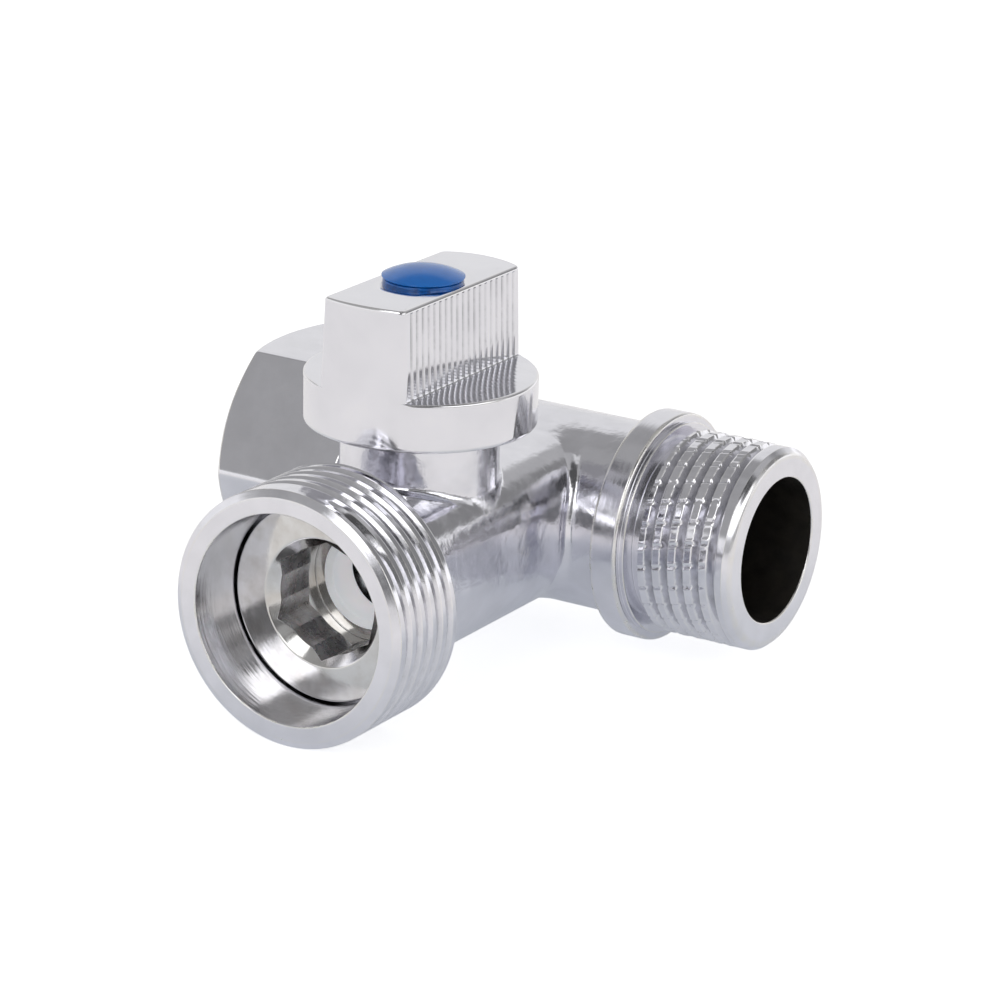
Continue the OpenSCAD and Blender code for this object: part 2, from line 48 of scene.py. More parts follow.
# Swaps each corner of an outline for a short curve: point = (1-t)^2 a + 2t(1-t) corner + t^2 b, where a and b
# lie the corner's radius away along its two sides, and at most the share mostOfSide of a side. corners is
# [corner, column, 2]. An open outline keeps its ends, and a row lies just outside each end of a curve.
def roundCorners(corners, radii, closed=True, steps=5, mostOfSide=0.42, justOutside=1.25):
    rows = []
    last = len(corners) - 1
    for k, here in enumerate(corners):
        radius = np.broadcast_to(np.asarray(radii[k], float), here.shape[:1])
        if not closed and k in (0, last) or np.all(radius <= 0):
            rows.append(here)
            continue
        back, ahead = corners[k - 1] - here, corners[(k + 1) % len(corners)] - here
        backLong, aheadLong = np.linalg.norm(back, axis=1) + tiny, np.linalg.norm(ahead, axis=1) + tiny
        size = np.minimum(radius, mostOfSide * np.minimum(backLong, aheadLong))[:, None]
        more = size * justOutside
        back, ahead = back / backLong[:, None], ahead / aheadLong[:, None]
        rows.append(here + back * more)
        for t in np.linspace(0, 1, steps):
            a, b = here + back * size, here + ahead * size
            rows.append((1 - t) ** 2 * a + 2 * t * (1 - t) * here + t * t * b)
        rows.append(here + ahead * more)
    return np.array(rows)


# An outline as [corner, column, 2] from its corners (along, radius), each a number or an array with a value
# for each column.
def outlineOf(corners, columns):
    spread = [[np.broadcast_to(value, columns) for value in corner] for corner in corners]
    return np.array(spread, float).transpose(0, 2, 1)


# A point at an angle round an axis: along the axis by the first number, and out from it by the second.
def roundRun(rows, angle):
    return np.stack([rows[..., 0], rows[..., 1] * np.cos(angle), rows[..., 1] * np.sin(angle)], -1)


def roundBranch(rows, angle):
    return np.stack([rows[..., 1] * np.cos(angle), -rows[..., 0], rows[..., 1] * np.sin(angle)], -1)


def roundStem(rows, angle):
    return np.stack([rows[..., 1] * np.cos(angle), stemY + rows[..., 1] * np.sin(angle), rows[..., 0]], -1)


# Makes a mesh of a grid of points in mm: each four neighbours are a face, the last row meets the first if
# closed, and the last column lies on the first. Points that fall together are merged.
def makeGrid(name, grid, finishes, bands=None, closed=True, sharp=38, edge=None, hollow=None):
    rows, columns = grid.shape[:2]
    index = np.arange(rows * columns).reshape(rows, columns)
    if closed:
        index = np.concatenate([index, index[:1]])
    quads = np.stack([index[:-1, :-1], index[1:, :-1], index[1:, 1:], index[:-1, 1:]], -1).reshape(-1, 4)
    mesh = bpy.data.meshes.new(name)
    mesh.from_pydata((grid.reshape(-1, 3) * mm).tolist(), [], quads.tolist())
    for look in finishes:
        mesh.materials.append(finish[look])
    if bands is not None:
        band = np.repeat(np.asarray(bands)[: len(index) - 1], columns - 1)
        mesh.polygons.foreach_set("material_index", band.astype(np.int32))
    # Shares from 0 to 1 for the finishes: edge for worn edges, partly a painted highlight, and hollow for
    # painted shade in hollows.
    for key, share in (("edge", edge), ("hollow", hollow)):
        layer = mesh.attributes.new(key, "FLOAT", "POINT")
        share = np.zeros((rows, columns)) if share is None else share
        layer.data.foreach_set("value", np.clip(share, 0, 1).astype(np.float32).ravel())
    shell = bmesh.new()
    shell.from_mesh(mesh)
    bmesh.ops.remove_doubles(shell, verts=shell.verts, dist=mergeWithin)
    bmesh.ops.recalc_face_normals(shell, faces=shell.faces)
    shell.to_mesh(mesh)
    shell.free()
    mesh.polygons.foreach_set("use_smooth", np.ones(len(mesh.polygons), bool))
    mesh.set_sharp_from_angle(angle=math.radians(sharp))
    piece = bpy.data.objects.new(name, mesh)
    scene.collection.objects.link(piece)
    print(name + ":", len(mesh.polygons), "faces")
    return piece


# How sharply an outline turns outwards at each row, from 0 to 1: three times the cross product of the steps
# before and after it over their lengths, with the sign of the outline's area.
def edgeShare(rows):
    back, ahead = rows - np.roll(rows, 1, 0), np.roll(rows, -1, 0) - rows
    cross = back[..., 0] * ahead[..., 1] - back[..., 1] * ahead[..., 0]
    long = np.linalg.norm(back, axis=-1) * np.linalg.norm(ahead, axis=-1) + tiny
    after = np.roll(rows, -1, 0)
    area = np.sum(rows[..., 0] * after[..., 1] - rows[..., 1] * after[..., 0], axis=0)
    return np.clip(3 * cross / long * np.sign(area), 0, 1)


# The height of a thread above its root at a phase from 0 to 1: a slope on each side of the crest, flat at the
# top, with the corners eased by a smooth least-of-two.
def threadHeight(phase, thread):
    away = np.abs(phase - 0.5) * thread["pitch"]
    slope = 1 / math.tan(math.radians(thread["flankDeg"]))
    rise = (thread["crestFlat"] / 2 - away) * slope + thread["depth"]
    ease = thread["ease"]
    gap = np.clip(ease - np.abs(rise - thread["depth"]), 0, None) / ease
    top = np.minimum(rise, thread["depth"]) - gap ** 2 * ease / 4
    gap = np.clip(ease - np.abs(top), 0, None) / ease
    return np.maximum(top, 0) + gap ** 2 * ease / 4


# The phases, from 0 to 1 over a pitch, at which a thread gets its rows: close together at its bends.
def threadPhases(thread):
    crest = thread["crestFlat"] / 2 / thread["pitch"]
    foot = crest + thread["depth"] * math.tan(math.radians(thread["flankDeg"])) / thread["pitch"]
    soft = thread["ease"] / thread["pitch"]
    away = [0, 0.6 * crest, crest - soft, crest, crest + soft, (crest + foot) / 2, foot - soft, foot, 0.5]
    away = np.unique(np.clip(away, 0, 0.5))
    return np.concatenate([0.5 - away[::-1], 0.5 + away[1:-1]])


# Rows of a thread between two places along its axis. Each row follows the helix: along = pitch (row + angle /
# turn), held between the ends, and the radius is root + height. A groove fades out near the front end.
def threadRows(thread, angle, start, end):
    pitch = thread["pitch"]
    phases = threadPhases(thread)
    turns = np.arange(-1, math.ceil((end - start) / pitch) + 1)
    lines = (turns[:, None] + phases[None, :]).ravel()
    along = start + thread["shift"] + pitch * (lines[:, None] + angle[None, :] / (2 * math.pi))
    along = np.clip(along, start, end)
    phase = (along - start - thread["shift"]) / pitch - angle[None, :] / (2 * math.pi)
    phase = phase - np.floor(phase + tiny)
    height = threadHeight(phase, thread)
    middle = along - pitch * (phase - np.round(phase))  # the middle of the groove that the point lies in
    fade = np.clip((end - thread["lead"] - middle) / thread["fade"], 0, 1)
    fade = fade * fade * (3 - 2 * fade)
    height = thread["depth"] - (thread["depth"] - height) * fade
    return along, height


# The angles of a full turn, with more of them near the given ones.
def turnAngles(count, near=(), spread=0.06, extra=5, closest=1e-4):
    angles = [np.linspace(0, 2 * math.pi, count + 1)]
    for a in near:
        angles.append(np.clip(a + np.linspace(-spread, spread, extra), 0, 2 * math.pi))
    angles = np.unique(np.round(np.concatenate(angles), 6))
    angles[-1] = 2 * math.pi
    return angles[np.concatenate([[True], np.diff(angles) > closest])]


# A new node, with its settings and the values of its sockets.
def addNode(tree, kind, settings=(), values=()):
    node = tree.nodes.new(kind)
    for key, value in dict(settings).items():
        setattr(node, key, value)
    for key, value in dict(values).items():
        node.inputs[key].default_value = value
    return node


# An operation on up to three values, each a number or another node's output.
def addMath(tree, operation, first, second=None, third=None):
    node = addNode(tree, "ShaderNodeMath", {"operation": operation})
    for place, value in enumerate((first, second, third)):
        if isinstance(value, (int, float)):
            node.inputs[place].default_value = value
        elif value is not None:
            tree.links.new(value, node.inputs[place])
    return node.outputs[0]


# Noise from 0 to 1 at a place, stretched along some axes if asked.
def addNoise(tree, place, scale, detail=2.0, rough=0.5, stretch=None):
    if stretch:
        turn = addNode(tree, "ShaderNodeMapping", {}, {"Scale": stretch})
        tree.links.new(place, turn.inputs["Vector"])
        place = turn.outputs["Vector"]
    noise = addNode(tree, "ShaderNodeTexNoise", {}, {"Scale": scale, "Detail": detail, "Roughness": rough})
    tree.links.new(place, noise.inputs["Vector"])
    return noise.outputs["Fac"]


def addRange(tree, value, low, high, toLow, toHigh, curve="LINEAR"):
    node = addNode(tree, "ShaderNodeMapRange", {"interpolation_type": curve},
                   {"From Min": low, "From Max": high, "To Min": toLow, "To Max": toHigh})
    tree.links.new(value, node.inputs["Value"])
    return node.outputs["Result"]


# A mix of two colours, sockets 6 and 7, of which the first may be another node's output.
def addMix(tree, share, first, second):
    node = addNode(tree, "ShaderNodeMix", {"data_type": "RGBA"}, {7: (*second, 1)})
    tree.links.new(share, node.inputs[0])
    if isinstance(first, tuple):
        node.inputs[6].default_value = (*first, 1)
    else:
        tree.links.new(first, node.inputs[6])
    return node.outputs[2]


# What all finishes share: the height in metres of a bump at full strength, and the noise values between which
# a colour and a roughness fade in, and between which the specks fade in that carry an edge's wear and painted
# highlight and a hollow's painted shade.
finishing = {
    "waveHeight": 0.0001, "grainHeight": 0.00002, "fadeFrom": 0.35, "fadeTo": 0.7, "speckFrom": 0.4,
    "speckTo": 0.62, "leastSpeck": 0.35, "paintedGlowColour": (0.93, 0.96, 1.0, 1)}

# The shader's sockets that hold one number, with the look's key and the usual number.
plainSockets = (("Metallic", "metallic", 1.0), ("IOR", "ior", 1.5), ("Coat Weight", "coat", 0.0),
                ("Coat Roughness", "coatRough", 0.03), ("Subsurface Weight", "soft", 0.0),
                ("Emission Strength", "paintedGlow", 0.0))


# A finish from its look: colour mottled between two tones, roughness that wanders between two values, and a
# bump of slow waves from casting and polishing with fine lines on top.
def makeFinish(name, look):
    f = finishing
    material = bpy.data.materials.new(name)
    material.use_nodes = True
    tree = material.node_tree
    shader = tree.nodes["Principled BSDF"]
    for socket, key, usual in plainSockets:
        shader.inputs[socket].default_value = look.get(key, usual)
    # The colour of the painted glow that a finish may have.
    shader.inputs["Emission Color"].default_value = f["paintedGlowColour"]
    shader.inputs["Subsurface Scale"].default_value = mm
    place = addNode(tree, "ShaderNodeTexCoord").outputs["Object"]
    mottle = addNoise(tree, place, look["mottle"], 4.0, 0.55)
    fade = (f["fadeFrom"], f["fadeTo"])
    tone = addMix(tree, addRange(tree, mottle, *fade, 0, 1), look["colour"], look["tint"])
    smear = addNoise(tree, place, look["smear"], 5.0, 0.6)
    rough = addRange(tree, smear, *fade, *look["rough"])
    for key in ("edge", "hollow"):  # worn edges with a painted highlight where their colour is lighter, and painted shade in hollows, where the mesh's own attribute says
        if key in look:
            share = addNode(tree, "ShaderNodeAttribute", {"attribute_name": key}).outputs["Fac"]
            specks = addRange(tree, smear, f["speckFrom"], f["speckTo"], f["leastSpeck"], 1.0)
            speck = addMath(tree, "MULTIPLY", share, specks)
            tone = addMix(tree, speck, tone, look[key][:3])
            rough = addMath(tree, "ADD", rough, addMath(tree, "MULTIPLY", speck, look[key][3]))
    tree.links.new(tone, shader.inputs["Base Color"])
    tree.links.new(rough, shader.inputs["Roughness"])
    waves = addNoise(tree, place, look["waves"], 1.5, 0.45)
    grain = addNoise(tree, place, look["grain"], 3.0, 0.6, look.get("stretch"))
    normal = None
    for height, depth, distance in ((waves, "waveDepth", "waveHeight"), (grain, "grainDepth", "grainHeight")):
        bump = addNode(tree, "ShaderNodeBump", {}, {"Strength": look[depth], "Distance": f[distance]})
        tree.links.new(height, bump.inputs["Height"])
        if normal is not None:
            tree.links.new(normal, bump.inputs["Normal"])
        normal = bump.outputs["Normal"]
    tree.links.new(normal, shader.inputs["Normal"])
    return material


# Each finish: colours from 0 to 1, noise scales per metre and strengths of the bumps. The white plastic's
# light of its own is painted light: a glow that stands in for the light reaching the rings down the socket,
# as a strength of its own light.
looks = {
    "castChrome": {
        "colour": (0.84, 0.836, 0.883), "tint": (0.76, 0.757, 0.80), "mottle": 260, "smear": 420,
        "rough": (0.07, 0.24), "waves": 520, "waveDepth": 0.8, "grain": 1800, "grainDepth": 1.0},
    "turnedChrome": {
        "colour": (0.84, 0.836, 0.883), "tint": (0.78, 0.777, 0.82), "mottle": 300, "smear": 700,
        "rough": (0.07, 0.18), "waves": 350, "waveDepth": 0.06, "grain": 2400, "grainDepth": 0.3,
        "edge": (0.86, 0.84, 0.80, 0.12)},
    # Thread crests take a lighter colour, which is wear and partly a painted highlight; thread roots take a
    # darker one, which is painted shade.
    "threadChrome": {
        "colour": (0.84, 0.836, 0.883), "tint": (0.75, 0.747, 0.79), "mottle": 600, "smear": 900,
        "rough": (0.06, 0.17), "waves": 900, "waveDepth": 0.06, "grain": 3000, "grainDepth": 0.15,
        "edge": (0.90, 0.89, 0.90, 0.05), "hollow": (0.54, 0.54, 0.56, 0.1)},
    # The handle's edges take a lighter colour, which is wear and partly a painted highlight; its grooves take
    # a much darker one, which is painted shade.
    "handleChrome": {
        "colour": (0.85, 0.846, 0.888), "tint": (0.80, 0.797, 0.84), "mottle": 180, "smear": 350,
        "rough": (0.07, 0.13), "waves": 220, "waveDepth": 0.035, "grain": 3000, "grainDepth": 0.06,
        "edge": (0.88, 0.87, 0.88, 0.08), "hollow": (0.36, 0.36, 0.385, 0.12)},
    # The bores' near-black colour is painted shade for their deep insides, over a warm, tarnished-brass tint.
    "darkBore": {
        "colour": (0.018, 0.016, 0.014), "tint": (0.035, 0.030, 0.024), "mottle": 500, "smear": 800,
        "rough": (0.45, 0.7), "waves": 500, "waveDepth": 0.1, "grain": 2500, "grainDepth": 0.3,
        "metallic": 0.35},
    "ringNickel": {
        "colour": (0.74, 0.735, 0.73), "tint": (0.62, 0.60, 0.575), "mottle": 500, "smear": 800,
        "rough": (0.06, 0.16), "waves": 600, "waveDepth": 0.05, "grain": 3000, "grainDepth": 0.15},
    # The socket's broached walls are rough and streaked, and painted darker than the ring as shade in the
    # socket.
    "broachedShadedNickel": {
        "colour": (0.44, 0.43, 0.43), "tint": (0.30, 0.28, 0.27), "mottle": 500, "smear": 900,
        "rough": (0.2, 0.36), "waves": 700, "waveDepth": 0.06, "grain": 2600, "grainDepth": 0.5,
        "stretch": (1, 0.04, 1)},
    "ballChrome": {
        "colour": (0.78, 0.785, 0.80), "tint": (0.70, 0.70, 0.72), "mottle": 400, "smear": 600,
        "rough": (0.05, 0.1), "waves": 300, "waveDepth": 0.02, "grain": 3000, "grainDepth": 0.05},
    "turnedBrass": {
        "colour": (0.62, 0.43, 0.17), "tint": (0.50, 0.33, 0.12), "mottle": 500, "smear": 900,
        "rough": (0.18, 0.34), "waves": 500, "waveDepth": 0.05, "grain": 3000, "grainDepth": 0.3},
    "screwSteel": {
        "colour": (0.52, 0.52, 0.53), "tint": (0.42, 0.42, 0.42), "mottle": 700, "smear": 900,
        "rough": (0.2, 0.36), "waves": 500, "waveDepth": 0.05, "grain": 3000, "grainDepth": 0.3},
    # The white plastic glows with painted light of its own.
    "seatPlastic": {
        "colour": (0.88, 0.885, 0.90), "tint": (0.80, 0.80, 0.81), "mottle": 500, "smear": 700,
        "rough": (0.34, 0.5), "waves": 500, "waveDepth": 0.05, "grain": 2600, "grainDepth": 0.3,
        "metallic": 0.0, "soft": 0.12, "ior": 1.38, "paintedGlow": 0.3},
    "sealRubber": {
        "colour": (0.012, 0.012, 0.013), "tint": (0.022, 0.022, 0.022), "mottle": 700, "smear": 900,
        "rough": (0.42, 0.6), "waves": 600, "waveDepth": 0.05, "grain": 2600, "grainDepth": 0.4,
        "metallic": 0.0},
    # The cap's edges take a lighter blue, which is a painted highlight; its groove and base take a dark navy,
    # which is painted shade.
    "capBlue": {
        "colour": (0.002, 0.185, 0.68), "tint": (0.002, 0.155, 0.58), "mottle": 300, "smear": 500,
        "rough": (0.14, 0.24), "waves": 260, "waveDepth": 0.02, "grain": 2600, "grainDepth": 0.08,
        "metallic": 0.0, "coat": 0.2, "coatRough": 0.04,
        "edge": (0.01, 0.21, 0.74, 0.08), "hollow": (0.001, 0.03, 0.15, 0.0)},
}
turned = looks["turnedChrome"]
looks["turnedRun"] = {**turned, "rough": (0.11, 0.24), "grainDepth": 1.0, "stretch": (1, 0.05, 0.05)}
looks["turnedBranch"] = {**turned, "rough": (0.11, 0.25), "grainDepth": 1.0, "stretch": (0.05, 1, 0.05)}
finish = {name: makeFinish(name, look) for name, look in looks.items()}
print("materials:", len(finish))


cast = {
    "runRadius": 10.2, "branchRadius": 9.58, "neckRadius": 8.14, "neckTop": 15.6, "runFillet": 1.0,
    "neckFillet": 0.6, "squareness": 1.5, "squareFrom": 4.0, "runFrom": -18.0, "runTo": 14.6,
    "branchTo": 37.0, "boreRadius": 7.65, "portRadius": 4.25, "chamberRadius": 7.58, "chamberFrom": 15.44,
    "shankFrom": 31.64, "shankRadius": 8.3, "pocketRadius": 4.85, "pocketTop": 9.65, "stemRadius": 3.25,
    "step": 0.34, "margin": 1.0, "boreSkin": 0.3, "noHole": -9.0}


# The union of two distances with a round fillet: the larger of r and the least, less the length of what each
# falls short of r.
def filletUnion(a, b, radius):
    short = np.hypot(np.maximum(radius - a, 0), np.maximum(radius - b, 0))
    return np.maximum(radius, np.minimum(a, b)) - short


# The distance to the cast skin in mm, below 0 in the metal: the run, the branch and the neck, joined with
# fillets, less their passages. The branch is round below, and squarer above by (x^n + z^n)^(1/n), where n
# grows from 2 with the height.
def castDistance(x, y, z):
    c = cast
    across, along = np.hypot(y, z), np.hypot(x, z)
    fromStem = np.hypot(x, y - stemY)
    power = 2 + c["squareness"] * np.clip(z / c["squareFrom"], 0, 1)
    squared = (np.abs(x) ** power + np.abs(z) ** power + tiny) ** (1 / power)
    branch = np.maximum(squared - c["branchRadius"], y)
    skin = filletUnion(across - c["runRadius"], branch, c["runFillet"])
    skin = filletUnion(skin, np.maximum(fromStem - c["neckRadius"], -z), c["neckFillet"])
    for cut in (x - c["runTo"], c["runFrom"] - x, -c["branchTo"] - y, z - c["neckTop"]):
        skin = np.maximum(skin, cut)
    out = -y
    chamber = np.where(out > c["shankFrom"], c["shankRadius"], c["chamberRadius"])
    pocket = np.where(z < c["pocketTop"], c["pocketRadius"], c["stemRadius"])
    holes = (c["boreRadius"] - across,
             np.minimum(c["portRadius"] - along, out),
             np.where(out > c["chamberFrom"], chamber - along, c["noHole"]),
             np.where(z > 0, pocket - fromStem, c["noHole"]))
    for hole in holes:
        skin = np.maximum(skin, hole)
    return skin


# How much a field rises at points along each axis, from a small way before to the same way after.
def riseOf(field, points, way):
    rise = [field(*(points + way * axis).T) - field(*(points - way * axis).T) for axis in np.eye(3)]
    return np.stack(rise, 1)


# The surface where a field is 0: each cell that the surface crosses gets the mean of its edge crossings as a
# point, and the four cells round each crossed edge make a face. The points then slide on to the surface.
def surfaceOf(distance, low, high, step, slides=4, slopeWay=0.01, normalWay=0.02, leastSlope=1e-6):
    axes = [np.arange(low[i], high[i] + step, step) for i in range(3)]
    field = distance(*np.meshgrid(*axes, indexing="ij"))
    shape = np.array(field.shape) - 1
    total, count = np.zeros((*shape, 3)), np.zeros(shape)
    unit = np.eye(3, dtype=int)
    for axis in range(3):
        for i in (0, 1):
            for j in (0, 1):
                start = i * unit[(axis + 1) % 3] + j * unit[(axis + 2) % 3]
                near = field[tuple(slice(s, s + n) for s, n in zip(start, shape))]
                far = field[tuple(slice(s, s + n) for s, n in zip(start + unit[axis], shape))]
                crossed = (near < 0) != (far < 0)
                share = np.where(crossed, near / np.where(crossed, near - far, 1), 0)
                for c in range(3):
                    total[..., c] += crossed * (start[c] + (share if c == axis else 0))
                count += crossed
    used = count > 0
    number = np.full(tuple(shape), -1)
    number[used] = np.arange(used.sum())
    cell = np.argwhere(used)
    points = np.array(low) + step * (cell + total[used] / count[used][:, None])
    faces = []
    for axis in range(3):
        a, b = unit[(axis + 1) % 3], unit[(axis + 2) % 3]
        near = field[tuple(slice(0, n + (k != axis)) for k, n in enumerate(shape))]
        far = field[tuple(slice(unit[axis][k], unit[axis][k] + n + (k != axis)) for k, n in enumerate(shape))]
        where = np.argwhere((near < 0) != (far < 0))
        where = where[np.all((where[:, [(axis + 1) % 3, (axis + 2) % 3]] > 0), axis=1)]
        out = near[tuple(where.T)] < 0
        four = [number[tuple((where - s).T)] for s in (0 * a, a, a + b, b)]
        quad = np.stack(four, 1)
        faces.append(np.where(out[:, None], quad, quad[:, ::-1]))
    faces = np.concatenate(faces)
    for _ in range(slides):
        slope = riseOf(distance, points, slopeWay) / (2 * slopeWay)
        size = np.sum(slope ** 2, 1)[:, None] + leastSlope
        points -= np.clip(distance(*points.T)[:, None] * slope / size, -step / 2, step / 2)
    rise = riseOf(distance, points, normalWay)
    return points, faces, rise / (np.linalg.norm(rise, axis=1)[:, None] + tiny)


# The cast tee as a mesh on the surface of castDistance, dark where it is the run's bore, as painted shade.
def makeCast():
    c = cast
    edge = c["margin"]
    low = (c["runFrom"] - edge, -c["branchTo"] - edge, -c["runRadius"] - edge)
    high = (c["runTo"] + edge, c["runRadius"] + edge, c["neckTop"] + edge)
    points, faces, normals = surfaceOf(castDistance, low, high, c["step"])
    mesh = bpy.data.meshes.new("bodyCast")
    mesh.from_pydata((points * mm).tolist(), [], faces.tolist())
    mesh.materials.append(finish["castChrome"])
    mesh.materials.append(finish["darkBore"])
    middle = points[faces].mean(1)
    inner = np.hypot(middle[:, 1], middle[:, 2]) < c["boreRadius"] + c["boreSkin"]
    mesh.polygons.foreach_set("material_index", inner.astype(np.int32))
    mesh.polygons.foreach_set("use_smooth", np.ones(len(faces), bool))
    mesh.normals_split_custom_set_from_vertices(normals.tolist())
    piece = bpy.data.objects.new("bodyCast", mesh)
    scene.collection.objects.link(piece)
    print("bodyCast:", len(faces), "faces")
    return piece


bodyCast = makeCast()


# What the three pipe threads share.
pipeThread = {"pitch": 1.814, "depth": 1.05, "flankDeg": 27.5}

branchEnd = {
    "face": 47.15, "back": 36.25, "crest": 13.22, "faceRadius": 12.43, "mouth": 10.8, "recess": 10.45,
    "recessFrom": 41.25, "floor": 38.45, "shank": 8.25, "wall": 3.0, "chamfer": 0.45, "plain": 0.6,
    "rounding": [0, 0.05, 0.1, 0.1, 0.3, 0.16, 0.1, 0.1, 0],
    "thread": {**pipeThread, "crestFlat": 0.72, "ease": 0.05, "shift": 0.0, "lead": 0.8, "fade": 0.3}}


# The branch's end: a closed outline carried round the branch, with the thread's rows on its outside.
def makeBranchEnd():
    b = branchEnd
    angle = turnAngles(220)
    corners = [(b["back"], b["crest"] - b["wall"]), (b["back"], b["shank"]), (b["floor"], b["shank"]),
               (b["floor"], b["recess"]), (b["recessFrom"], b["recess"]), (b["face"], b["mouth"]),
               (b["face"], b["faceRadius"]), (b["face"] - b["chamfer"], b["crest"]),
               (b["face"] - b["plain"], b["crest"])]
    inside = roundCorners(outlineOf(corners, len(angle)), b["rounding"], closed=False)
    along, height = threadRows(b["thread"], angle, b["back"], b["face"] - b["plain"])
    outside = np.stack([along, b["crest"] - b["thread"]["depth"] + height], -1)[::-1]
    rows = np.concatenate([inside, outside])
    bands = np.zeros(len(rows), int)
    bands[len(inside) - 1:] = 1
    # Painted shade: the thread's roots get the darker hollow colour, more the deeper the row lies.
    hollow = np.zeros(rows.shape[:2])
    hollow[len(inside):] = (1 - height / b["thread"]["depth"])[::-1]
    return makeGrid("branchEnd", roundBranch(rows, angle), ["turnedBranch", "threadChrome"], bands,
                    edge=edgeShare(rows), hollow=hollow)


maleEnd = {
    "face": 29.0, "bore": 7.65, "faceRadius": 10.02, "lead": 0.75, "plain": 0.1, "crest": 10.68,
    "threadFrom": 18.5, "relief": 9.4, "ring": 11.2, "ringTo": 17.1, "collar": 12.1, "collarFrom": 13.5,
    "collarTo": 16.6, "nicks": 29, "nickDepth": 0.16, "nickWide": 0.17, "nickLip": 0.07, "nickSlant": 0.25,
    "nickFrom": 18.4, "nickTo": 26.3, "reliefRise": 0.2, "reliefLead": 0.25,
    "rounding": [0.05, 0.2, 0.45, 0.45, 0], "shoulderRounding": [0, 0.1, 0.08, 0.12, 0.06, 0.35, 0.4, 0],
    "thread": {**pipeThread, "crestFlat": 0.92, "ease": 0.1, "shift": 0.3, "lead": 0.85, "fade": 0.3}}


# The male end: an outline carried round the run, with the thread's rows. Its crests are nicked along slanting
# lines, so that sealing thread holds: radius = crest - depth exp(-(arc / width)^2), plus on both sides a lip
# height exp(-((arc - 2 width) / width)^2), where arc is the way round to the nearest line.
def makeMaleEnd():
    m = maleEnd
    depth = m["thread"]["depth"]
    angle = turnAngles(m["nicks"] * 16)
    front = m["face"] - m["lead"]
    corners = [(m["collarFrom"], m["bore"]), (m["face"], m["bore"]), (m["face"], m["faceRadius"]),
               (front, m["crest"]), (front - m["plain"], m["crest"])]
    inside = roundCorners(outlineOf(corners, len(angle)), m["rounding"])[:-1]
    along, height = threadRows(m["thread"], angle, m["threadFrom"], front - m["plain"])
    radius = m["crest"] - depth + height
    gap = 2 * math.pi * m["crest"] / m["nicks"]
    arc = np.abs(np.mod((angle * m["crest"] + m["nickSlant"] * along) / gap + 0.5, 1) - 0.5) * gap
    nick = m["nickDepth"] * np.exp(-(arc / m["nickWide"]) ** 2)
    lip = m["nickLip"] * np.exp(-((arc - 2 * m["nickWide"]) / m["nickWide"]) ** 2)
    worn = 0.8 + 0.2 * np.sin(angle * 5 + 1.2) * np.sin(angle * 2 + along)
    onCrest = np.clip((height - 0.8 * depth) / (0.2 * depth), 0, 1)  # from 0.8 of the thread's height up
    share = worn * onCrest * ((along > m["nickFrom"]) & (along < m["nickTo"]))
    outside = np.stack([along, radius + (lip - nick) * share], -1)[::-1]
    corners = [(m["threadFrom"], m["relief"] + m["reliefRise"]),
               (m["threadFrom"] - m["reliefLead"], m["relief"]), (m["ringTo"], m["relief"]),
               (m["ringTo"], m["ring"]), (m["collarTo"], m["ring"]), (m["collarTo"], m["collar"]),
               (m["collarFrom"], m["collar"]), (m["collarFrom"], m["relief"])]
    shoulder = roundCorners(outlineOf(corners, len(angle)), m["shoulderRounding"], closed=False)
    rows = np.concatenate([inside, outside, shoulder])
    bands = np.zeros(len(rows), int)
    # The bore's rows get the near-black bore colour, which is painted shade.
    bands[: 8] = 2  # the bore's rows, up to the face
    bands[len(inside) - 1: len(inside) + len(outside)] = 1
    bands[-1] = 2
    # Painted shade: the thread's roots get the darker hollow colour, more the deeper the row lies.
    hollow = np.zeros(rows.shape[:2])
    hollow[len(inside): len(inside) + len(outside)] = (1 - height / depth)[::-1]
    return makeGrid("maleEnd", roundRun(rows, angle), ["turnedRun", "threadChrome", "darkBore"], bands,
                    edge=edgeShare(rows), hollow=hollow)


hexEnd = {
    "face": -33.1, "length": 16.0, "flats": 24.2, "cornerRound": 0.025, "chamferRadius": 11.5,
    "slope": 0.577, "mouth": 10.68, "mouthDeep": 0.95, "minor": 9.32, "threadTo": -20.1, "threadOut": 1.0,
    "bore": 7.65, "boreGap": 0.02, "boreTo": -16.0, "shoulder": 11.3, "runRadius": 10.15, "underSkin": 9.2,
    "liningFrom": 0.96, "liningTo": 0.01,
    "rounding": [0, 0.1, 0.12, 0.22, 0.3, 0.15, 0.1, 0.3, 0, 0, 0.1, 0],
    "thread": {**pipeThread, "crestFlat": 0.4, "ease": 0.1, "shift": 0.0, "lead": 1.0, "fade": 0.4}}


# The hexagon's radius at an angle: half its flats over the cosine from the nearest flat, eased at corners.
def hexagonRadius(angle, flats, ease, turn=0.0):
    off = np.mod(angle - turn, math.pi / 3) - math.pi / 6
    edge = np.sqrt(off ** 2 + ease ** 2) if ease else np.abs(off)
    top = math.pi / 6
    near = top - np.sqrt((top - np.abs(off)) ** 2 + ease ** 2)
    return flats / 2 / np.cos(np.where(np.abs(off) > top / 2, near, np.minimum(edge, top)))


